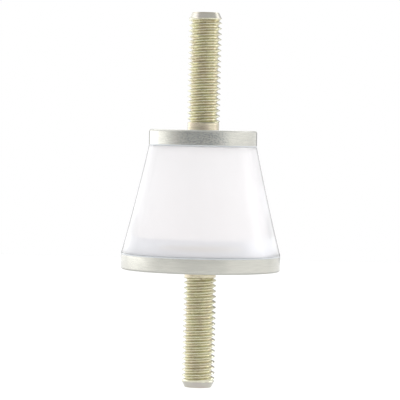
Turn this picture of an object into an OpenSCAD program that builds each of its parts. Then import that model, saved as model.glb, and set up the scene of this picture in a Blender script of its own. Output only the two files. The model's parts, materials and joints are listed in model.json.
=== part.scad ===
// Bobbin anti-vibration mount with a conical silicone body.
// Two steel plates carry one headed, threaded stud each. Each head is pressed flush
// into its plate, and the silicone is moulded on to plates and heads alike.
// The Z axis runs through both studs, the wide plate is the lower one, and the
// origin is the centre of the wide plate's outer face.

/* [Plates] */
// Diameter of the small upper plate
top_plate_d = 19.8; // [18:0.1:30]
// Diameter of the wide lower plate
bottom_plate_d = 29.2; // [20:0.1:45]
// Thickness of each plate
plate_t = 3; // [1.5:0.1:5]
// Radius on the rim at each plate's outer face, left by blanking
rim_round = 0.35; // [0.1:0.05:0.7]
// Radius on the rim at each plate's bonded face
bond_edge_round = 0.15; // [0.05:0.05:0.4]

/* [Silicone body] */
// Height of the silicone between the two plates
silicone_h = 19.7; // [8:0.1:40]
// How far the silicone's edge stands in from each plate's rim
silicone_inset = 0; // [0:0.05:1]
// Depth of the side's hollow curve below a straight line
side_sag = 0.13; // [0.05:0.01:1]

/* [Studs] */
// Outside diameter of the metric thread, M6 here
thread_d = 6; // [5:0.5:7]
// Length of each stud beyond its plate
stud_free_len = 21.5; // [12:0.5:40]
// Length of the taper at each stud's free end
end_taper_len = 1.1; // [0.5:0.1:2]
// How much the end taper takes off the radius
end_taper_depth = 0.55; // [0.2:0.05:0.9]
// How far the pressed neck stands out beyond the thread's radius
neck_step = 0.5; // [0.2:0.1:0.9]
// Diameter of each stud's round head, which ends flush with the plate's bonded face
head_d = 11; // [10:0.5:14]
// Thickness of each head
head_t = 1.4; // [0.8:0.1:2.5]
// Chamfer at the back edge of the head, in the corner of its counterbore
head_chamfer = 0.3; // [0.1:0.05:0.6]
// Radial gap between head and neck and their seat in the plate, 0 where pressed
seat_gap = 0; // [0:0.01:0.05]

/* [Hidden] */

// Finishes
plate_colour = "#b9bbb3";
stud_colour = "#bdb28c";
silicone_colour = "#e8e7e5";

// Smoothness of what is drawn
round_fn = 128;
edge_fn = 48;
side_fn = 2400;

// How far a cutting shape runs past what it cuts
cut_over = 1;

// Radii that fits and seats share
thread_r = thread_d / 2;
neck_r = thread_r + neck_step;
head_r = head_d / 2;

// Heights above the origin
body_z = plate_t;
body_top_z = body_z + silicone_h;
top_face_z = body_top_z + plate_t;

// The silicone's edge radii, and the straight line between the two edges
bottom_edge_r = bottom_plate_d / 2 - silicone_inset;
top_edge_r = top_plate_d / 2 - silicone_inset;
edge_line = [bottom_edge_r - top_edge_r, silicone_h];
edge_line_len = norm(edge_line);

// The hollow side is an arc through both edges, side_sag deep at its middle
side_arc_r = (pow(edge_line_len / 2, 2) + pow(side_sag, 2)) / (2 * side_sag);
side_middle = [(bottom_edge_r + top_edge_r) / 2, body_z + silicone_h / 2];
side_outward = [edge_line[1], edge_line[0]] / edge_line_len;
side_arc_centre = side_middle + side_outward * (side_arc_r - side_sag);

// Height of the shoulder under each head, with the plate's outer face at height 0
shoulder_z = head_t - plate_t;

// Half section of the bore for a stud's neck and the counterbore for its head
module seat_section() {
    polygon([
        [0, -plate_t - cut_over],
        [head_r + seat_gap, -plate_t - cut_over],
        [head_r + seat_gap, shoulder_z - head_chamfer],
        [head_r + seat_gap - head_chamfer, shoulder_z],
        [neck_r + seat_gap, shoulder_z],
        [neck_r + seat_gap, cut_over],
        [0, cut_over],
    ]);
}

// Half section of a plate, with its outer face at height 0
module plate_section(plate_r) {
    flat_r = plate_r - rim_round;
    bonded_r = plate_r - bond_edge_round;
    difference() {
        translate([0, -plate_t]) {
            square([bonded_r, plate_t - rim_round]);
            translate([0, bond_edge_round])
                square([plate_r, plate_t - rim_round - bond_edge_round]);
            translate([0, bond_edge_round])
                square([flat_r, plate_t - bond_edge_round]);
            translate([flat_r, plate_t - rim_round])
                circle(r = rim_round, $fn = edge_fn);
            translate([bonded_r, bond_edge_round])
                circle(r = bond_edge_round, $fn = edge_fn);
        }
        seat_section();
    }
}

// A blanked round plate with the seat for its stud, outer face up at height 0
module plate(plate_d) {
    rotate_extrude($fn = round_fn)
        plate_section(plate_d / 2);
}

// A headed stud that points up from its plate's outer face at height 0:
// head and neck pressed into the plate, threaded shank and tapered end
module stud() {
    taper_z = stud_free_len - end_taper_len;
    rotate_extrude($fn = round_fn)
        polygon([
            [0, -plate_t],
            [head_r, -plate_t],
            [head_r, shoulder_z - head_chamfer],
            [head_r - head_chamfer, shoulder_z],
            [neck_r, shoulder_z],
            [neck_r, 0],
            [thread_r, 0],
            [thread_r, taper_z],
            [thread_r - end_taper_depth, stud_free_len],
            [0, stud_free_len],
        ]);
}

module bottom_plate() {
    color(plate_colour)
        rotate([180, 0, 0])
            plate(bottom_plate_d);
}

module top_plate() {
    color(plate_colour)
        translate([0, 0, top_face_z])
            plate(top_plate_d);
}

// The moulded cone, bonded to both plates and to both stud heads
module silicone_body() {
    color(silicone_colour)
        rotate_extrude($fn = round_fn)
            difference() {
                translate([0, body_z])
                    square([max(bottom_edge_r, top_edge_r) + cut_over, silicone_h]);
                translate(side_arc_centre)
                    circle(r = side_arc_r, $fn = side_fn);
            }
}

module bottom_stud() {
    color(stud_colour)
        rotate([180, 0, 0])
            stud();
}

module top_stud() {
    color(stud_colour)
        translate([0, 0, top_face_z])
            stud();
}

bottom_plate();
top_plate();
silicone_body();
bottom_stud();
top_stud();
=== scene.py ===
"""Looks of a bobbin anti-vibration mount: a milky silicone cone between two zinc plated
steel plates, each with a threaded stud. Laid out as an add-on and run as a script."""

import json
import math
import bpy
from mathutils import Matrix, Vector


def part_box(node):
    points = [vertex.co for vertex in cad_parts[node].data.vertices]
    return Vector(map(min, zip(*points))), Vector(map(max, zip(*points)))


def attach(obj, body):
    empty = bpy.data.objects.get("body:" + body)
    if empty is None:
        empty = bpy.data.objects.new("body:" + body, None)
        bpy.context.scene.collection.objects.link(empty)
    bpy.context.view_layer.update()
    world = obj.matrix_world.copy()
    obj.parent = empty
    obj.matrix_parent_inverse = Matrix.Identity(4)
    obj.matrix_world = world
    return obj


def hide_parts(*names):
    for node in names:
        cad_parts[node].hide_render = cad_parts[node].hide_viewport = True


bl_info = {
    "name": "Silicone Bobbin Mount",
    "version": (1, 0, 0),
    "blender": (4, 5, 0),
    "location": "3D View > Sidebar > Bobbin Mount",
    "description": "Dresses the frame of a stud mount with plates, studs and a silicone body",
    "category": "Object",
}

import bmesh
import bpy
from bpy.props import FloatProperty, FloatVectorProperty, PointerProperty
from mathutils import Matrix

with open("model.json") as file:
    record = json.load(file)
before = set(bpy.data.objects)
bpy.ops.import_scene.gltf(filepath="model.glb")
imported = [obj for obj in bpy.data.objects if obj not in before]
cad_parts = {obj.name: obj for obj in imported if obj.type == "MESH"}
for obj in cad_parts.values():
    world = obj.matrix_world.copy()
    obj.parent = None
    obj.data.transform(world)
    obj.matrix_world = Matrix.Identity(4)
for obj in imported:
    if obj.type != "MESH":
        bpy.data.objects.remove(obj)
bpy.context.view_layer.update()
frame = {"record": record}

MM = 0.001
# Places nearer to each other than this count as the same place
NEAR = 0.001 * MM
# A face counts as flat if its normal's Z is more than this
FLAT = 0.9
# Where two faces meet at a larger angle than this, the edge between them stays sharp
SMOOTH_ANGLE = math.radians(35)

# How finely the shapes are divided: steps round the plates and the cone, across the plates'
# two rounded edges, round one turn of thread and along one pitch, and rings up the cone
ROUND_STEPS = 256
RIM_STEPS = 6
BOND_EDGE_STEPS = 4
THREAD_STEPS = 120
THREAD_POINTS = 16
SIDE_RINGS = 24

# Brightness of the studio round the object, by degrees from the camera round to the right,
# at eye level, above it, and on the table just below the horizon
EYE_LEVEL = (
    (-180, 0.4),
    (-177, 0.25),
    (-167, 0.25),
    (-157, 1.25),
    (-145, 2.0),
    (-125, 2.2),
    (-107, 1.45),
    (-90, 1.18),
    (-72, 0.77),
    (-57, 0.58),
    (-43, 0.48),
    (-28, 0.45),
    (0, 0.43),
    (12, 0.47),
    (22, 0.57),
    (34, 0.71),
    (48, 1.06),
    (62, 1.19),
    (80, 1.2),
    (130, 1.08),
    (156, 1.02),
    (163, 0.25),
    (178, 0.25),
    (180, 0.4),
)
UPPER_LEVEL = (
    (-180, 0.5),
    (-174, 0.5),
    (-163, 1.7),
    (-147, 1.75),
    (-128, 1.0),
    (-107, 1.0),
    (-90, 0.95),
    (-72, 0.88),
    (-50, 0.78),
    (-15, 0.7),
    (10, 0.85),
    (30, 1.2),
    (55, 1.4),
    (86, 1.3),
    (91, 2.6),
    (104, 2.6),
    (118, 1.5),
    (135, 1.05),
    (155, 1.05),
    (163, 0.35),
    (178, 0.3),
    (180, 0.5),
)
TABLE_LEVEL = (
    (-180, 0.95),
    (-165, 1.0),
    (-145, 1.9),
    (-125, 2.2),
    (-107, 2.2),
    (-89, 1.85),
    (-74, 1.05),
    (-60, 0.6),
    (-47, 0.47),
    (-35, 0.42),
    (-20, 0.5),
    (0, 0.58),
    (12, 0.5),
    (24, 0.4),
    (36, 0.25),
    (48, 0.25),
    (60, 0.6),
    (75, 0.86),
    (107, 0.9),
    (128, 0.55),
    (150, 0.8),
    (158, 0.3),
    (178, 0.3),
    (180, 0.95),
)
BRIGHTEST = max(level for degrees, level in (*EYE_LEVEL, *UPPER_LEVEL, *TABLE_LEVEL))

# Where one level goes over into the next, on the X, Y or Z of a direction of length 1
TABLE_START = (-0.01, -0.045)
UPPER_START = (0.06, 0.22)
OVERHEAD_START = (0.38, 0.56)
OVERHEAD_LEFT_END = (-0.9, -0.6)
OVERHEAD_REAR_START = (0.1, 0.6)

# A Mix node calls all its pairs of inputs A and B, so they are reached by number, and so is
# its mixed colour among the outputs
VALUE_A, VALUE_B, COLOUR_A, COLOUR_B = 2, 3, 6, 7
MIXED_COLOUR = 2


def linear(hex_colour):
    """The linear colour of an sRGB hex value such as #c8cac4."""
    shares = [int(hex_colour[i : i + 2], 16) / 255 for i in (1, 3, 5)]
    return tuple(s / 12.92 if s <= 0.04045 else ((s + 0.055) / 1.055) ** 2.4 for s in shares)


def stated_mount(name):
    """The record's mount of that name."""
    return next(m for m in frame["record"]["mounts"] if m["name"] == name)


def node_radius(node):
    """Radius of a CAD node at its widest."""
    low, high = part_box(node)
    return (high.x - low.x) / 2


# Sizes that the frame fixes, in metres
PLATE_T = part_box("bottom_plate")[1].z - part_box("bottom_plate")[0].z
TOP_FACE_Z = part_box("top_plate")[1].z
HEAD_R = node_radius("bottom_stud")
STUD_LEN = -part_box("bottom_stud")[0].z
THREAD_R = stated_mount("bottom_stud")["dims"]["r_mm"] * MM
TAPER_LEN = STUD_LEN - stated_mount("bottom_stud")["dims"]["length_mm"] * MM
SILICONE_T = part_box("silicone_body")[1].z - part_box("silicone_body")[0].z


class PlateSizes(bpy.types.PropertyGroup):
    """Sizes and finishes of the two plates"""

    rim_round: FloatProperty(
        name="Rim Radius",
        description="Radius on the rim at each plate's outer face",
        default=0.35 * MM,
        unit="LENGTH",
    )
    bond_edge_round: FloatProperty(
        name="Bonded Edge Radius",
        description="Radius on the rim at each plate's bonded face",
        default=0.15 * MM,
        unit="LENGTH",
    )
    bore_r: FloatProperty(
        name="Bore Radius",
        description="Radius of the bore that the stud's neck is pressed into",
        default=THREAD_R + 0.5 * MM,
        unit="LENGTH",
    )
    colour: FloatVectorProperty(
        name="Plating",
        description="Colour of the clear zinc plating",
        subtype="COLOR",
        default=linear("#d3d2ca"),
    )
    colour_dull: FloatVectorProperty(
        name="Dull Plating",
        description="Colour of the plating in the lines of the blanked edge",
        subtype="COLOR",
        default=linear("#bebeb7"),
    )
    edge_colour: FloatVectorProperty(
        name="Rounded Edge",
        description="Colour of the matt plating on the rim's rounded outer edge",
        subtype="COLOR",
        default=linear("#b6b6b0"),
    )
    # Colour of the pits, partly real pits and partly painted reflection of the dim front
    pit_and_reflection_colour: FloatVectorProperty(
        name="Pits",
        description="Colour of the small pits in the blanked edge",
        subtype="COLOR",
        default=linear("#8f999d"),
    )
    pit_strength: FloatProperty(
        name="Pit Strength",
        description="How strongly the pits show in the small plate's edge",
        subtype="FACTOR",
        default=0.6,
    )
    # How far the pits and their painted dark reflection reach to each side of the front
    pitted_half_width: FloatProperty(
        name="Pitted Half Width",
        description="How far the pits reach to each side of the small plate's front",
        default=5 * MM,
        unit="LENGTH",
    )
    primer_len: FloatProperty(
        name="Primer Width",
        description="How far the bonding primer shows on the rim",
        default=0.3 * MM,
        unit="LENGTH",
    )
    # Painted shade: the primer's colour also stands for the shade of the narrow gap at the bond
    primer_and_gap_shade_colour: FloatVectorProperty(
        name="Primer",
        description="Colour of the bonding primer where it shows on the rim",
        subtype="COLOR",
        default=linear("#ccd0d2"),
    )
    # Painted light: a paler, bluer copy of the plating under the silicone, which brightens and
    # blues the silicone near the plates
    bonded_face_lit_colour: FloatVectorProperty(
        name="Bonded Face",
        description="Colour of the plating under the silicone",
        subtype="COLOR",
        default=linear("#d9e3ee"),
    )


class StudSizes(bpy.types.PropertyGroup):
    """Sizes and finishes of the two studs"""

    pitch: FloatProperty(
        name="Pitch",
        description="Rise of the thread in one turn",
        default=1.0 * MM,
        unit="LENGTH",
    )
    thread_depth: FloatProperty(
        name="Thread Depth",
        description="Depth of the thread from crest to root",
        default=0.61 * MM,
        unit="LENGTH",
    )
    collar_r: FloatProperty(
        name="Collar Radius",
        description="Radius of the plain shank next to the plate",
        default=2.88 * MM,
        unit="LENGTH",
    )
    collar_len: FloatProperty(
        name="Collar Length",
        description="Length of the plain shank next to the plate",
        default=1.3 * MM,
        unit="LENGTH",
    )
    runout_len: FloatProperty(
        name="Run-out Length",
        description="Length over which the thread reaches its full depth",
        default=0.2 * MM,
        unit="LENGTH",
    )
    taper_depth: FloatProperty(
        name="Taper Depth",
        description="How much the taper at the free end takes off the radius",
        default=0.55 * MM,
        unit="LENGTH",
    )
    head_t: FloatProperty(
        name="Head Thickness",
        description="Thickness of the head, which ends flush with the plate's bonded face",
        default=1.4 * MM,
        unit="LENGTH",
    )
    head_chamfer: FloatProperty(
        name="Head Chamfer",
        description="Chamfer at the head's back edge, in the corner of its counterbore",
        default=0.3 * MM,
        unit="LENGTH",
    )
    thread_colour: FloatVectorProperty(
        name="Thread",
        description="Colour of the yellow passivation on the thread's crests",
        subtype="COLOR",
        default=linear("#dad9c2"),
    )
    thin_tint: FloatVectorProperty(
        name="Thin Patches",
        description="Tint over the colour where the passivation is thinner",
        subtype="COLOR",
        default=linear("#faf5fa"),
    )
    # Painted shade for the thread's roots, multiplied over the colour there
    painted_root_shade: FloatVectorProperty(
        name="Painted Root Shade",
        description="Tint over the colour in the thread's roots",
        subtype="COLOR",
        default=linear("#f4f0e6"),
    )
    collar_colour: FloatVectorProperty(
        name="Collar",
        description="Colour of the plain shank next to the plate",
        subtype="COLOR",
        default=linear("#d2cab2"),
    )
    end_colour: FloatVectorProperty(
        name="Rolled End",
        description="Colour of the tapered free end, where the zinc is bare",
        subtype="COLOR",
        default=linear("#bab8ae"),
    )
    head_colour: FloatVectorProperty(
        name="Head",
        description="Colour of the plating on the head and neck",
        subtype="COLOR",
        default=linear("#dbdcd5"),
    )
    upper_turn: FloatProperty(
        name="Upper Stud Turn",
        description="How far the upper stud is turned in its plate",
        default=math.radians(-36),
        unit="ROTATION",
    )
    lower_turn: FloatProperty(
        name="Lower Stud Turn",
        description="How far the lower stud is turned in its plate",
        default=math.radians(132),
        unit="ROTATION",
    )


class SiliconeSizes(bpy.types.PropertyGroup):
    """Sizes and colours of the silicone body"""

    side_sag: FloatProperty(
        name="Side Sag",
        description="Depth of the side's hollow curve below a straight line",
        default=0.13 * MM,
        unit="LENGTH",
    )
    bond_overlap: FloatProperty(
        name="Bond Overlap",
        description="How far the silicone's bonded faces lie under the metal's surface",
        default=0.02 * MM,
        unit="LENGTH",
    )
    clear_colour: FloatVectorProperty(
        name="Clear Tint",
        description="Colour of what is seen through the silicone",
        subtype="COLOR",
        default=linear("#f9eeeb"),
    )
    clear_density: FloatProperty(
        name="Tint Density",
        description="How strongly a metre of silicone tints what is seen through it",
        default=20.0,
    )
    milk_colour: FloatVectorProperty(
        name="Milk",
        description="Colour of the light that the silicone scatters",
        subtype="COLOR",
        default=linear("#f2f2f4"),
    )


class StageSizes(bpy.types.PropertyGroup):
    """The camera, the floor and the light overhead"""

    camera_distance: FloatProperty(
        name="Camera Distance",
        description="Distance from the camera to the studs' axis",
        default=428 * MM,
        unit="LENGTH",
    )
    camera_aside: FloatProperty(
        name="Camera Aside",
        description="How far the camera stands left of the studs' axis",
        default=0.32 * MM,
        unit="LENGTH",
    )
    camera_pitch: FloatProperty(
        name="Camera Pitch",
        description="How far the camera looks down",
        default=math.radians(1.718),
        unit="ROTATION",
    )
    camera_roll: FloatProperty(
        name="Camera Roll",
        description="How far the object leans to the right in the picture",
        default=math.radians(1.22),
        unit="ROTATION",
    )
    field_of_view: FloatProperty(
        name="Field of View",
        description="Angle across the square picture",
        default=math.radians(9.8),
        unit="ROTATION",
    )
    near_limit: FloatProperty(
        name="Near Limit",
        description="Nearest distance from the camera at which a thing is seen",
        default=10 * MM,
        unit="LENGTH",
    )
    floor_drop: FloatProperty(
        name="Floor Drop",
        description="How far the floor lies below the lower stud",
        default=60 * MM,
        unit="LENGTH",
    )
    floor_size: FloatProperty(
        name="Floor Size",
        description="Length of each side of the floor",
        default=3.0,
        unit="LENGTH",
    )
    floor_colour: FloatVectorProperty(
        name="Floor",
        description="Colour of the matt floor",
        subtype="COLOR",
        default=linear("#e8e8e8"),
    )
    overhead_front: FloatProperty(
        name="Overhead in Front",
        description="Brightness overhead in front of the mount and to its right",
        default=0.82,
    )
    overhead_left: FloatProperty(
        name="Overhead Left",
        description="Brightness overhead on the left",
        default=3.2,
    )
    overhead_rear: FloatProperty(
        name="Overhead Behind",
        description="Brightness overhead behind the mount",
        default=3.0,
    )
    backdrop_limit: FloatProperty(
        name="Backdrop Limit",
        description="Greatest brightness of what is seen through the silicone",
        default=1.4,
    )


def clear_selection():
    """Leaves edit mode and deselects every object, the CAD nodes among them."""
    if bpy.context.object and bpy.context.object.mode == "EDIT":
        bpy.ops.object.mode_set(mode="OBJECT")
    bpy.ops.object.select_all(action="DESELECT")


def pick(kind, test):
    """Selects, in edit mode, the VERT, EDGE or FACE items that pass the test and no others."""
    bpy.ops.mesh.select_mode(type=kind)
    bpy.ops.mesh.select_all(action="DESELECT")
    mesh = bpy.context.object.data
    shape = bmesh.from_edit_mesh(mesh)
    items = {"VERT": shape.verts, "EDGE": shape.edges, "FACE": shape.faces}[kind]
    for item in items:
        if test(item):
            item.select_set(True)
    shape.select_flush_mode()
    bmesh.update_edit_mesh(mesh)


def on_circle(radius, height):
    """A test for an edge that lies on the circle of that radius at that height."""

    def test(edge):
        return all(
            abs(v.co.xy.length - radius) < NEAR and abs(v.co.z - height) < NEAR
            for v in edge.verts
        )

    return test


def finish_piece(piece, name, node, material):
    """Smooths a piece, sets its place in its mesh and ties it to the frame."""
    clear_selection()
    piece.select_set(True)
    bpy.context.view_layer.objects.active = piece
    bpy.ops.object.transform_apply(location=True, rotation=True, scale=True)
    bpy.ops.object.shade_smooth_by_angle(angle=SMOOTH_ANGLE)
    # Broad faces keep their own direction, so only the rounded edges between them turn
    bpy.ops.object.modifier_add(type="WEIGHTED_NORMAL")
    piece.modifiers[-1].keep_sharp = True
    bpy.ops.object.modifier_apply(modifier=piece.modifiers[-1].name)
    piece.name = name
    piece.data.name = name
    piece.data.materials.clear()
    piece.data.materials.append(material)
    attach(piece, "root")
    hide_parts(node)


def add_node(tree, kind, inputs=None, **settings):
    """Adds a node, sets its properties, and gives inputs a value or another node's output."""
    node = tree.nodes.new(kind)
    for key, value in settings.items():
        setattr(node, key, value)
    for key, value in (inputs or {}).items():
        if isinstance(value, bpy.types.NodeSocket):
            tree.links.new(value, node.inputs[key])
        else:
            node.inputs[key].default_value = value
    return node


def new_material(name):
    """An empty node material with its output."""
    material = bpy.data.materials.new(name)
    material.use_nodes = True
    tree = material.node_tree
    tree.nodes.clear()
    return material, tree, add_node(tree, "ShaderNodeOutputMaterial")


def from_middle(tree, place):
    """Height above or below the middle of the silicone, so both ends of the mount match."""
    height = add_node(tree, "ShaderNodeSeparateXYZ", {"Vector": place}).outputs["Z"]
    centred = add_node(
        tree, "ShaderNodeMath", {0: height, 1: TOP_FACE_Z / 2}, operation="SUBTRACT"
    )
    return add_node(
        tree, "ShaderNodeMath", {0: centred.outputs[0]}, operation="ABSOLUTE"
    ).outputs[0]


def set_stops(ramp, stops):
    """Gives a colour ramp its stops, each with a position and a colour."""
    elements = ramp.color_ramp.elements
    while len(elements) < len(stops):
        elements.new(0.5)
    for element, (position, colour) in zip(elements, stops):
        element.position = position
        element.color = (*colour, 1)


def lines_round(tree, place, per_mm_round, per_mm_up, detail, roughness):
    """Noise drawn out into lines that run round the studs' axis, so many to a millimetre."""
    scale = (per_mm_round / MM, per_mm_round / MM, per_mm_up / MM)
    drawn_out = add_node(tree, "ShaderNodeMapping", {"Vector": place, "Scale": scale})
    settings = {"Scale": 1.0, "Detail": detail, "Roughness": roughness}
    return add_node(
        tree, "ShaderNodeTexNoise", {"Vector": drawn_out.outputs["Vector"], **settings}
    ).outputs["Fac"]


def soft_band(tree, value, rise, fall):
    """Share that goes from 0 to 1 over the two values of rise, and back over those of fall."""
    shares = []
    for (start, end), low, high in ((rise, 0.0, 1.0), (fall, 1.0, 0.0)):
        share = add_node(
            tree,
            "ShaderNodeMapRange",
            {"Value": value, "From Min": start, "From Max": end, "To Min": low, "To Max": high},
        )
        shares.append(share.outputs["Result"])
    return add_node(
        tree, "ShaderNodeMath", {0: shares[0], 1: shares[1]}, operation="MULTIPLY"
    ).outputs[0]


def front_pits(tree, place, look, strength):
    """Round pits a quarter of a millimetre across, in cells of a third of a millimetre, that show
    only at the front of the rim, where their dark blue-grey is partly painted reflection of the
    dim studio in front. Gives their depth and how strongly they colour the metal."""
    depth = add_node(
        tree, "ShaderNodeTexVoronoi", {"Vector": place, "Scale": 3 / MM}
    ).outputs["Distance"]
    pitted = add_node(
        tree,
        "ShaderNodeMapRange",
        {
            "Value": depth,
            "From Min": 0.3,
            "From Max": 0.5,
            "To Min": strength,
            "To Max": 0.3 * strength,
        },
    )
    aside = add_node(tree, "ShaderNodeSeparateXYZ", {"Vector": place}).outputs["X"]
    from_front = add_node(tree, "ShaderNodeMath", {0: aside}, operation="ABSOLUTE")
    at_front = add_node(
        tree,
        "ShaderNodeMapRange",
        {
            "Value": from_front.outputs[0],
            "From Min": 0.6 * look.pitted_half_width,
            "From Max": look.pitted_half_width,
            "To Min": 1.0,
            "To Max": 0.0,
        },
    )
    share = add_node(
        tree,
        "ShaderNodeMath",
        {0: pitted.outputs["Result"], 1: at_front.outputs["Result"]},
        operation="MULTIPLY",
    )
    return depth, share.outputs[0]


def zinc_plated_blank(name, look, pit_strength):
    """Blanked steel sheet under clear zinc: satin, with faint lines round the rim, pits at its
    front whose dark blue-grey is partly painted reflection, a matt rounded edge, a thin line in
    the primer's colour next to the silicone that is painted shade of the gap at the bond, and a
    paler bonded face that is painted light."""
    material, tree, output = new_material(name)
    place = add_node(tree, "ShaderNodeTexCoord").outputs["Object"]
    height = from_middle(tree, place)
    # The lines are 0.2 mm high and 2 mm long
    lines = lines_round(tree, place, 0.45, 5.5, detail=4.0, roughness=0.6)
    dullness = add_node(
        tree,
        "ShaderNodeMapRange",
        {"Value": lines, "From Min": 0.4, "From Max": 0.65, "To Max": 0.4},
    )
    marked = add_node(
        tree,
        "ShaderNodeMix",
        {
            "Factor": dullness.outputs["Result"],
            COLOUR_A: (*look.colour, 1),
            COLOUR_B: (*look.colour_dull, 1),
        },
        data_type="RGBA",
    )
    roughness = add_node(
        tree,
        "ShaderNodeMapRange",
        {"Value": lines, "From Min": 0.3, "From Max": 0.7, "To Min": 0.13, "To Max": 0.2},
    )
    pit_depth, pit_share = front_pits(tree, place, look, pit_strength)
    # Pits in a dark blue-grey that is partly painted reflection, only at the front
    pitted = add_node(
        tree,
        "ShaderNodeMix",
        {
            "Factor": pit_share,
            COLOUR_A: marked.outputs[MIXED_COLOUR],
            COLOUR_B: (*look.pit_and_reflection_colour, 1),
        },
        data_type="RGBA",
    )
    # The rounded outer edge, up to the flat face, is duller and matt
    face = TOP_FACE_Z / 2
    edge = soft_band(
        tree,
        height,
        (face - look.rim_round, face - 0.7 * look.rim_round),
        (face - 0.1 * look.rim_round, face - 0.02 * look.rim_round),
    )
    edged = add_node(
        tree,
        "ShaderNodeMix",
        {"Factor": edge, COLOUR_A: pitted.outputs[MIXED_COLOUR], COLOUR_B: (*look.edge_colour, 1)},
        data_type="RGBA",
    )
    edged_roughness = add_node(
        tree,
        "ShaderNodeMix",
        {"Factor": edge, VALUE_A: roughness.outputs["Result"], VALUE_B: 0.5},
        data_type="FLOAT",
    )
    # Under the silicone the bonded face is a paler, bluer copy of the zinc, painted light and
    # painted reflection that brighten the silicone near the plates. On the rim next to the
    # silicone, a thin matt line in the bonding primer's colour is painted shade of the narrow gap
    # at the bond.
    bond = SILICONE_T / 2
    rim_start = (bond + 0.1 * look.primer_len, bond + 0.3 * look.primer_len)
    primer_end = (bond + 0.8 * look.primer_len, bond + 1.2 * look.primer_len)
    on_rim = add_node(
        tree,
        "ShaderNodeMapRange",
        {"Value": height, "From Min": rim_start[0], "From Max": rim_start[1]},
    )
    # Band of the painted shade line next to the silicone, in the primer's colour
    primer = soft_band(tree, height, rim_start, primer_end)
    # Painted light on the bonded face, the plain plating on the rim above it
    zinc = add_node(
        tree,
        "ShaderNodeMix",
        {
            "Factor": on_rim.outputs["Result"],
            COLOUR_A: (*look.bonded_face_lit_colour, 1),
            COLOUR_B: edged.outputs[MIXED_COLOUR],
        },
        data_type="RGBA",
    )
    coated = add_node(
        tree,
        "ShaderNodeMix",
        {
            "Factor": primer,
            COLOUR_A: zinc.outputs[MIXED_COLOUR],
            COLOUR_B: (*look.primer_and_gap_shade_colour, 1),
        },
        data_type="RGBA",
    )
    bare = add_node(tree, "ShaderNodeMath", {0: 1.0, 1: primer}, operation="SUBTRACT")
    bump = add_node(
        tree,
        "ShaderNodeBump",
        {"Strength": pit_strength, "Distance": 0.01 * MM, "Height": pit_depth},
    )
    metal = add_node(
        tree,
        "ShaderNodeBsdfPrincipled",
        {
            "Base Color": coated.outputs[MIXED_COLOUR],
            "Metallic": bare.outputs[0],
            "Roughness": edged_roughness.outputs[0],
            "Normal": bump.outputs["Normal"],
        },
    )
    tree.links.new(metal.outputs[0], output.inputs["Surface"])
    return material


def zinc_plated_thread(look):
    """Rolled steel stud under zinc with a pale yellow passivation, satin. The roots carry painted
    shade, a little darker and warmer, and the rolled end and the head have lost the yellow."""
    material, tree, output = new_material("yellow_zinc_plated_steel")
    place = add_node(tree, "ShaderNodeTexCoord").outputs["Object"]
    # The finish changes along the stud: head, collar, thread and rolled end
    outer_z = TOP_FACE_Z / 2
    end_z = outer_z + STUD_LEN
    along = add_node(
        tree, "ShaderNodeMath", {0: from_middle(tree, place), 1: end_z}, operation="DIVIDE"
    )
    ramp = add_node(tree, "ShaderNodeValToRGB", {"Fac": along.outputs[0]})
    ramp.color_ramp.interpolation = "CONSTANT"
    zones = (
        (0, look.head_colour),
        (outer_z, look.collar_colour),
        (outer_z + look.collar_len, look.thread_colour),
        (end_z - TAPER_LEN, look.end_colour),
    )
    set_stops(ramp, [(start_z / end_z, colour) for start_z, colour in zones])
    # Pinkish patches of 2 mm where the passivation is thinner
    patches = add_node(
        tree,
        "ShaderNodeTexNoise",
        {"Vector": place, "Scale": 0.5 / MM, "Detail": 3.0, "Roughness": 0.6},
    )
    thin = add_node(
        tree,
        "ShaderNodeMapRange",
        {"Value": patches.outputs["Fac"], "From Min": 0.42, "From Max": 0.62},
    )
    patchy = add_node(
        tree,
        "ShaderNodeMix",
        {
            "Factor": thin.outputs["Result"],
            COLOUR_A: ramp.outputs["Color"],
            COLOUR_B: (*look.thin_tint, 1),
        },
        data_type="RGBA",
        blend_type="MULTIPLY",
    )
    # Painted shade: the colour darkens and warms from the crests down into the roots, where shade
    # falls
    flat = add_node(
        tree, "ShaderNodeVectorMath", {0: place, 1: (1, 1, 0)}, operation="MULTIPLY"
    )
    from_axis = add_node(
        tree, "ShaderNodeVectorMath", {0: flat.outputs["Vector"]}, operation="LENGTH"
    )
    # Share of painted shade: 1 deep in the roots, 0 towards the crests
    root = add_node(
        tree,
        "ShaderNodeMapRange",
        {
            "Value": from_axis.outputs["Value"],
            "From Min": THREAD_R - 0.95 * look.thread_depth,
            "From Max": THREAD_R - 0.6 * look.thread_depth,
            "To Min": 1.0,
            "To Max": 0.0,
        },
    )
    shaded = add_node(
        tree,
        "ShaderNodeMix",
        {
            "Factor": root.outputs["Result"],
            COLOUR_A: patchy.outputs[MIXED_COLOUR],
            COLOUR_B: (*look.painted_root_shade, 1),
        },
        data_type="RGBA",
        blend_type="MULTIPLY",
    )
    # Rolling marks 0.15 mm high and 3 mm long that run round the thread, drawn coarser than
    # real ones so that they show
    marks = lines_round(tree, place, 0.35, 6.5, detail=2.0, roughness=0.5)
    bump = add_node(
        tree, "ShaderNodeBump", {"Strength": 1.0, "Distance": 0.04 * MM, "Height": marks}
    )
    metal = add_node(
        tree,
        "ShaderNodeBsdfPrincipled",
        {
            "Base Color": shaded.outputs[MIXED_COLOUR],
            "Metallic": 1.0,
            "Roughness": 0.22,
            "Normal": bump.outputs["Normal"],
        },
    )
    tree.links.new(metal.outputs[0], output.inputs["Surface"])
    return material


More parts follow.
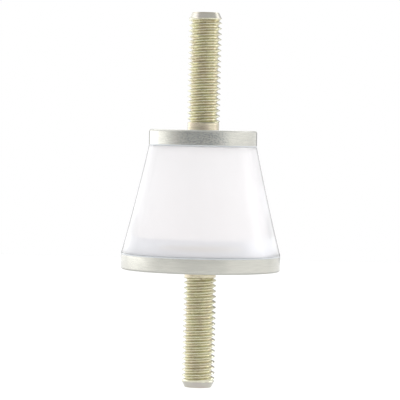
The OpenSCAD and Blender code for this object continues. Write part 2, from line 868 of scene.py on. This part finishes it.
def milky_silicone(look):
    """Moulded translucent silicone: clear enough to show a plate behind it, with a milky
    veil that looks blue over dark things and faintly pink over bright ones."""
    material, tree, output = new_material("translucent_milky_silicone")
    # Light goes in through a half milky skin, milkier at a glancing angle. Once inside, it
    # leaves without being scattered again, which would dim what is seen through the body.
    glancing = add_node(tree, "ShaderNodeLayerWeight", {"Blend": 0.5}).outputs["Facing"]
    entering = add_node(
        tree,
        "ShaderNodeMapRange",
        {"Value": glancing, "From Min": 0.45, "From Max": 0.8, "To Min": 0.5, "To Max": 0.15},
    )
    leaving = add_node(tree, "ShaderNodeNewGeometry").outputs["Backfacing"]
    clearness = add_node(
        tree,
        "ShaderNodeMix",
        {"Factor": leaving, VALUE_A: entering.outputs["Result"], VALUE_B: 1.0},
        data_type="FLOAT",
    )
    rubber = add_node(
        tree,
        "ShaderNodeBsdfPrincipled",
        {
            "Base Color": (*look.milk_colour, 1),
            "Roughness": 0.08,
            "IOR": 1.41,
            "Transmission Weight": clearness.outputs[0],
            "Subsurface Weight": 1.0,
            "Subsurface Radius": (1.0, 1.0, 1.0),
            "Subsurface Scale": 3 * MM,
        },
    )
    tint = add_node(
        tree,
        "ShaderNodeVolumeAbsorption",
        {"Color": (*look.clear_colour, 1), "Density": look.clear_density},
    )
    tree.links.new(rubber.outputs[0], output.inputs["Surface"])
    tree.links.new(tint.outputs[0], output.inputs["Volume"])
    return material


def thread_radius(share, look):
    """Radius of the rolled thread at a share of the pitch, 0 and 1 at the middle of a root."""
    # Crest and root are flat this far to each side, as shares of the pitch
    half_crest = 0.07
    half_root = 0.11
    down = (abs(share - 0.5) - half_crest) / (0.5 - half_crest - half_root)
    return THREAD_R - look.thread_depth * min(max(down, 0), 1)


def seat_outline(look, neck_r, plate_t):
    """Radius and height of each corner of a stud's neck and head below the outer face."""
    shoulder_z = look.head_t - plate_t
    return [
        (neck_r, shoulder_z),
        (HEAD_R - look.head_chamfer, shoulder_z),
        (HEAD_R, shoulder_z - look.head_chamfer),
        (HEAD_R, -plate_t),
    ]


def extrude_through(outline, radius, face_z=0, up=1):
    """Extrudes the selected circle, which has that radius at height 0, through each radius
    and height of an outline. Height 0 is at face_z, and up is -1 where the outline is
    turned upside down."""
    height = 0
    for next_radius, next_height in outline:
        bpy.ops.mesh.extrude_region_move(
            TRANSFORM_OT_translate={"value": (0, 0, (next_height - height) * up)}
        )
        grow = next_radius / radius
        bpy.ops.transform.resize(
            value=(grow, grow, 1), center_override=(0, 0, face_z + next_height * up)
        )
        radius, height = next_radius, next_height


def make_thread(look):
    """A helical thread round the Z axis that starts two turns below height 0, where it is
    cut off later, and goes on past the stud's end."""
    clear_selection()
    start_z = -2 * look.pitch
    bpy.ops.mesh.primitive_plane_add(size=MM)
    thread = bpy.context.object
    bpy.ops.object.mode_set(mode="EDIT")
    # One pitch of the thread's outline, drawn point by point
    pick("VERT", lambda vertex: True)
    bpy.ops.mesh.merge(type="CENTER")
    radii = [thread_radius(i / THREAD_POINTS, look) for i in range(THREAD_POINTS + 1)]
    bpy.ops.transform.translate(value=(radii[0], 0, start_z))
    for radius, next_radius in zip(radii, radii[1:]):
        step = (next_radius - radius, 0, look.pitch / THREAD_POINTS)
        bpy.ops.mesh.extrude_region_move(TRANSFORM_OT_translate={"value": step})
    bpy.ops.object.mode_set(mode="OBJECT")
    bpy.ops.object.modifier_add(type="SCREW")
    helix = thread.modifiers[-1]
    helix.angle = math.tau
    helix.screw_offset = look.pitch
    helix.iterations = math.ceil((STUD_LEN - start_z) / look.pitch) + 1
    helix.steps = THREAD_STEPS
    helix.render_steps = THREAD_STEPS
    helix.use_merge_vertices = True
    helix.merge_threshold = NEAR
    bpy.ops.object.modifier_apply(modifier=helix.name)
    return thread


def shape_shank(thread, look):
    """Draws the thread's points in or out to the collar, the run-out and the tapered end."""
    for vertex in thread.data.vertices:
        x, y, z = vertex.co
        radius = math.hypot(x, y)
        grown = min(max((z - look.collar_len) / look.runout_len, 0), 1)
        shaped = look.collar_r + (radius - look.collar_r) * grown
        cone = THREAD_R - look.taper_depth * (1 - (STUD_LEN - z) / TAPER_LEN)
        # The groove runs out half a pitch before the taper
        filled = min(max((z - STUD_LEN + TAPER_LEN) / (look.pitch / 2) + 1, 0), 1)
        shaped = min(shaped + (THREAD_R - shaped) * filled, cone)
        vertex.co.x = x * shaped / radius
        vertex.co.y = y * shaped / radius


def make_stud(look, neck_r, plate_t):
    """A headed stud that points up from its plate's outer face at height 0."""
    stud = make_thread(look)
    shape_shank(stud, look)
    bpy.ops.object.mode_set(mode="EDIT")
    bpy.ops.mesh.select_all(action="SELECT")
    bpy.ops.mesh.bisect(
        plane_co=(0, 0, STUD_LEN),
        plane_no=(0, 0, 1),
        use_fill=True,
        clear_outer=True,
        threshold=NEAR / 10,
    )
    bpy.ops.mesh.select_all(action="SELECT")
    bpy.ops.mesh.bisect(
        plane_co=(0, 0, 0), plane_no=(0, 0, 1), clear_inner=True, threshold=NEAR / 10
    )
    # The neck and the head grow from the cut edge
    extrude_through([(neck_r, 0), *seat_outline(look, neck_r, plate_t)], look.collar_r)
    bpy.ops.mesh.edge_face_add()
    bpy.ops.mesh.select_all(action="SELECT")
    bpy.ops.mesh.normals_make_consistent(inside=False)
    bpy.ops.object.mode_set(mode="OBJECT")
    return stud


def make_plate(node, outer_side, look, stud_look):
    """A blanked round plate in its node's place. Its outer face is on top where outer_side
    is 1, and below where it is -1."""
    low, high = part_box(node)
    thickness = high.z - low.z
    radius = node_radius(node)
    clear_selection()
    bpy.ops.mesh.primitive_cylinder_add(
        vertices=ROUND_STEPS,
        radius=radius,
        depth=thickness,
        end_fill_type="NGON",
        location=(0, 0, (low.z + high.z) / 2),
    )
    plate = bpy.context.object
    bpy.ops.object.transform_apply(location=True, rotation=True, scale=True)
    bpy.ops.object.mode_set(mode="EDIT")
    # The outer face is inset to the bore's edge, and the bore and the head's counterbore
    # go down from there to the bonded face, whose disc is left out
    outer_z, bonded_z = (high.z, low.z) if outer_side > 0 else (low.z, high.z)
    pick("FACE", lambda face: face.normal.z * outer_side > FLAT)
    bpy.ops.mesh.inset(thickness=radius - look.bore_r)
    seat = seat_outline(stud_look, look.bore_r, thickness)
    extrude_through(seat, look.bore_r, outer_z, outer_side)
    bpy.ops.mesh.delete(type="FACE")
    # The shoulder in the bore points the same way, but its faces have four corners each
    pick("FACE", lambda face: face.normal.z * outer_side < -FLAT and len(face.verts) > 4)
    bpy.ops.mesh.inset(thickness=radius - HEAD_R)
    bpy.ops.mesh.delete(type="FACE")
    bpy.ops.mesh.select_all(action="SELECT")
    bpy.ops.mesh.remove_doubles(threshold=NEAR)
    pick("EDGE", on_circle(radius, outer_z))
    bpy.ops.mesh.bevel(offset=look.rim_round, segments=RIM_STEPS, affect="EDGES")
    pick("EDGE", on_circle(radius, bonded_z))
    bpy.ops.mesh.bevel(
        offset=look.bond_edge_round, segments=BOND_EDGE_STEPS, affect="EDGES"
    )
    bpy.ops.mesh.select_all(action="SELECT")
    bpy.ops.mesh.normals_make_consistent(inside=False)
    bpy.ops.object.mode_set(mode="OBJECT")
    return plate


def make_silicone(look):
    """The moulded cone, slightly hollow along its side."""
    low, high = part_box("silicone_body")
    bottom_r = node_radius("silicone_body")
    top_r = node_radius("top_plate") - (node_radius("bottom_plate") - bottom_r)
    height = high.z - low.z
    clear_selection()
    bpy.ops.mesh.primitive_cone_add(
        vertices=ROUND_STEPS,
        radius1=bottom_r,
        radius2=top_r,
        depth=height,
        end_fill_type="NGON",
        location=(0, 0, (low.z + high.z) / 2),
    )
    cone = bpy.context.object
    bpy.ops.object.transform_apply(location=True, rotation=True, scale=True)
    bpy.ops.object.mode_set(mode="EDIT")
    pick("EDGE", lambda edge: abs(edge.verts[0].co.z - edge.verts[1].co.z) > NEAR)
    bpy.ops.mesh.subdivide(number_cuts=SIDE_RINGS - 1)
    # Each ring is drawn in on to the hollow arc
    for i in range(1, SIDE_RINGS):
        share = i / SIDE_RINGS
        ring_z = low.z + height * share
        straight_r = bottom_r + (top_r - bottom_r) * share
        drawn_in = 1 - 4 * look.side_sag * share * (1 - share) / straight_r
        pick("VERT", lambda vertex: abs(vertex.co.z - ring_z) < NEAR)
        bpy.ops.transform.resize(value=(drawn_in, drawn_in, 1), center_override=(0, 0, ring_z))
    # Both ends reach under the metal's surface, so no air is left at the bond
    for end_z, outward in ((low.z, -1), (high.z, 1)):
        pick("FACE", lambda face: all(abs(v.co.z - end_z) < NEAR for v in face.verts))
        bpy.ops.transform.translate(value=(0, 0, outward * look.bond_overlap))
    bpy.ops.mesh.select_all(action="SELECT")
    bpy.ops.mesh.normals_make_consistent(inside=False)
    bpy.ops.object.mode_set(mode="OBJECT")
    return cone


class MOUNT_OT_plates(bpy.types.Operator):
    """Makes the two blanked plates"""

    bl_idname = "mount.plates"
    bl_label = "Make Plates"

    def execute(self, context):
        look = context.scene.mount_plates
        stud_look = context.scene.mount_studs
        wide = make_plate("bottom_plate", -1, look, stud_look)
        smooth_zinc = zinc_plated_blank("zinc_plated_blanked_steel", look, pit_strength=0.0)
        finish_piece(wide, "wide_plate", "bottom_plate", smooth_zinc)
        small = make_plate("top_plate", 1, look, stud_look)
        pitted_zinc = zinc_plated_blank("pitted_zinc_plated_steel", look, look.pit_strength)
        finish_piece(small, "small_plate", "top_plate", pitted_zinc)
        return {"FINISHED"}


class MOUNT_OT_studs(bpy.types.Operator):
    """Makes the two headed, threaded studs"""

    bl_idname = "mount.studs"
    bl_label = "Make Studs"

    def execute(self, context):
        look = context.scene.mount_studs
        yellow_zinc = zinc_plated_thread(look)
        upper = make_stud(look, context.scene.mount_plates.bore_r, PLATE_T)
        clear_selection()
        upper.select_set(True)
        context.view_layer.objects.active = upper
        bpy.ops.object.duplicate()
        lower = context.object
        lower.rotation_euler = (math.pi, 0, look.lower_turn)
        upper.rotation_euler.z = look.upper_turn
        upper.location.z = TOP_FACE_Z
        finish_piece(upper, "upper_stud", "top_stud", yellow_zinc)
        finish_piece(lower, "lower_stud", "bottom_stud", yellow_zinc)
        return {"FINISHED"}


class MOUNT_OT_silicone(bpy.types.Operator):
    """Makes the moulded silicone cone"""

    bl_idname = "mount.silicone"
    bl_label = "Make Silicone Body"

    def execute(self, context):
        look = context.scene.mount_silicone
        cone = make_silicone(look)
        finish_piece(cone, "silicone_cone", "silicone_body", milky_silicone(look))
        return {"FINISHED"}


class MOUNT_OT_stage(bpy.types.Operator):
    """Makes the floor, the studio light with its white backdrop, and the camera"""

    bl_idname = "mount.stage"
    bl_label = "Make Stage"

    def execute(self, context):
        sizes = context.scene.mount_stage
        clear_selection()
        bpy.ops.mesh.primitive_plane_add(
            size=sizes.floor_size, location=(0, 0, -STUD_LEN - sizes.floor_drop)
        )
        floor = context.object
        floor.name = "floor"
        floor.data.materials.append(pale_floor(sizes))
        studio_world(context.scene, sizes)
        context.scene.view_settings.view_transform = "Standard"
        look_up = Matrix.Rotation(math.pi / 2 - sizes.camera_pitch, 3, "X")
        turn = look_up @ Matrix.Rotation(sizes.camera_roll, 3, "Z")
        bpy.ops.object.camera_add(
            location=(-sizes.camera_aside, -sizes.camera_distance, TOP_FACE_Z),
            rotation=turn.to_euler(),
        )
        camera = context.object
        camera.data.angle = sizes.field_of_view
        camera.data.clip_start = sizes.near_limit
        context.scene.camera = camera
        return {"FINISHED"}


def pale_floor(sizes):
    """Matt paint, nearly as bright as the white backdrop behind it."""
    material, tree, output = new_material("pale_matt_floor")
    diffuse = add_node(tree, "ShaderNodeBsdfDiffuse", {"Color": (*sizes.floor_colour, 1)})
    tree.links.new(diffuse.outputs[0], output.inputs["Surface"])
    return material


def fade(tree, value, start_and_end, low, high):
    """A level that goes smoothly from low to high as the value goes from start to end."""
    start, end = start_and_end
    share = add_node(
        tree,
        "ShaderNodeMapRange",
        {"Value": value, "From Min": start, "From Max": end},
        interpolation_type="SMOOTHSTEP",
    )
    return add_node(
        tree,
        "ShaderNodeMix",
        {"Factor": share.outputs["Result"], VALUE_A: low, VALUE_B: high},
        data_type="FLOAT",
    ).outputs[0]


def ring_of_light(tree, around, levels):
    """Brightness by the share of a turn round the object, from behind and past the left."""
    ramp = add_node(tree, "ShaderNodeValToRGB", {"Fac": around})
    set_stops(
        ramp, [((degrees + 180) / 360, (level / BRIGHTEST,) * 3) for degrees, level in levels]
    )
    return add_node(
        tree, "ShaderNodeMath", {0: ramp.outputs["Color"], 1: BRIGHTEST}, operation="MULTIPLY"
    ).outputs[0]


def studio_world(scene, sizes):
    """Soft studio light: bright on the left, weaker on the right with one narrow bright
    panel above eye level, dim in front, dark straight behind, and strongest overhead on the
    left and behind. The table below has levels of its own. What looks past the mount sees
    plain white, and what looks through the silicone sees white or a little more."""
    world = bpy.data.worlds.new("studio")
    scene.world = world
    world.use_nodes = True
    tree = world.node_tree
    tree.nodes.clear()
    direction = add_node(tree, "ShaderNodeTexCoord").outputs["Generated"]
    axes = add_node(tree, "ShaderNodeSeparateXYZ", {"Vector": direction}).outputs
    to_front = add_node(tree, "ShaderNodeMath", {0: axes["Y"], 1: -1.0}, operation="MULTIPLY")
    azimuth = add_node(
        tree, "ShaderNodeMath", {0: axes["X"], 1: to_front.outputs[0]}, operation="ARCTAN2"
    )
    around = add_node(
        tree,
        "ShaderNodeMapRange",
        {"Value": azimuth.outputs[0], "From Min": -math.pi, "From Max": math.pi},
    )
    eye = ring_of_light(tree, around.outputs["Result"], EYE_LEVEL)
    upper = ring_of_light(tree, around.outputs["Result"], UPPER_LEVEL)
    table = ring_of_light(tree, around.outputs["Result"], TABLE_LEVEL)
    eye_and_table = fade(tree, axes["Z"], TABLE_START, eye, table)
    sides = fade(tree, axes["Z"], UPPER_START, eye_and_table, upper)
    front = fade(
        tree, axes["X"], OVERHEAD_LEFT_END, sizes.overhead_left, sizes.overhead_front
    )
    overhead = fade(tree, axes["Y"], OVERHEAD_REAR_START, front, sizes.overhead_rear)
    lit = fade(tree, axes["Z"], OVERHEAD_START, sides, overhead)
    light_path = add_node(tree, "ShaderNodeLightPath").outputs
    backdrop = add_node(
        tree, "ShaderNodeClamp", {"Value": lit, "Min": 1.0, "Max": sizes.backdrop_limit}
    )
    through = add_node(
        tree,
        "ShaderNodeMix",
        {"Factor": light_path["Is Transmission Ray"], VALUE_A: lit, VALUE_B: backdrop.outputs[0]},
        data_type="FLOAT",
    )
    strength = add_node(
        tree,
        "ShaderNodeMix",
        {"Factor": light_path["Is Camera Ray"], VALUE_A: through.outputs[0], VALUE_B: 1.0},
        data_type="FLOAT",
    )
    glow = add_node(
        tree,
        "ShaderNodeBackground",
        {"Color": (1, 1, 1, 1), "Strength": strength.outputs[0]},
    )
    output = add_node(tree, "ShaderNodeOutputWorld")
    tree.links.new(glow.outputs[0], output.inputs["Surface"])


class MOUNT_PT_panel(bpy.types.Panel):
    """Lists the operators that make the mount"""

    bl_label = "Bobbin Mount"
    bl_space_type = "VIEW_3D"
    bl_region_type = "UI"
    bl_category = "Bobbin Mount"

    def draw(self, context):
        for operator in OPERATORS:
            self.layout.operator(operator.bl_idname)


GROUPS = {
    "mount_plates": PlateSizes,
    "mount_studs": StudSizes,
    "mount_silicone": SiliconeSizes,
    "mount_stage": StageSizes,
}
OPERATORS = (MOUNT_OT_plates, MOUNT_OT_studs, MOUNT_OT_silicone, MOUNT_OT_stage)


def register():
    for cls in (*GROUPS.values(), *OPERATORS, MOUNT_PT_panel):
        bpy.utils.register_class(cls)
    for name, group in GROUPS.items():
        setattr(bpy.types.Scene, name, PointerProperty(type=group))


def unregister():
    for name in GROUPS:
        delattr(bpy.types.Scene, name)
    for cls in reversed((*GROUPS.values(), *OPERATORS, MOUNT_PT_panel)):
        bpy.utils.unregister_class(cls)


def main():
    register()
    bpy.ops.mount.plates()
    bpy.ops.mount.studs()
    bpy.ops.mount.silicone()
    bpy.ops.mount.stage()


if __name__ == "__main__":
    main()
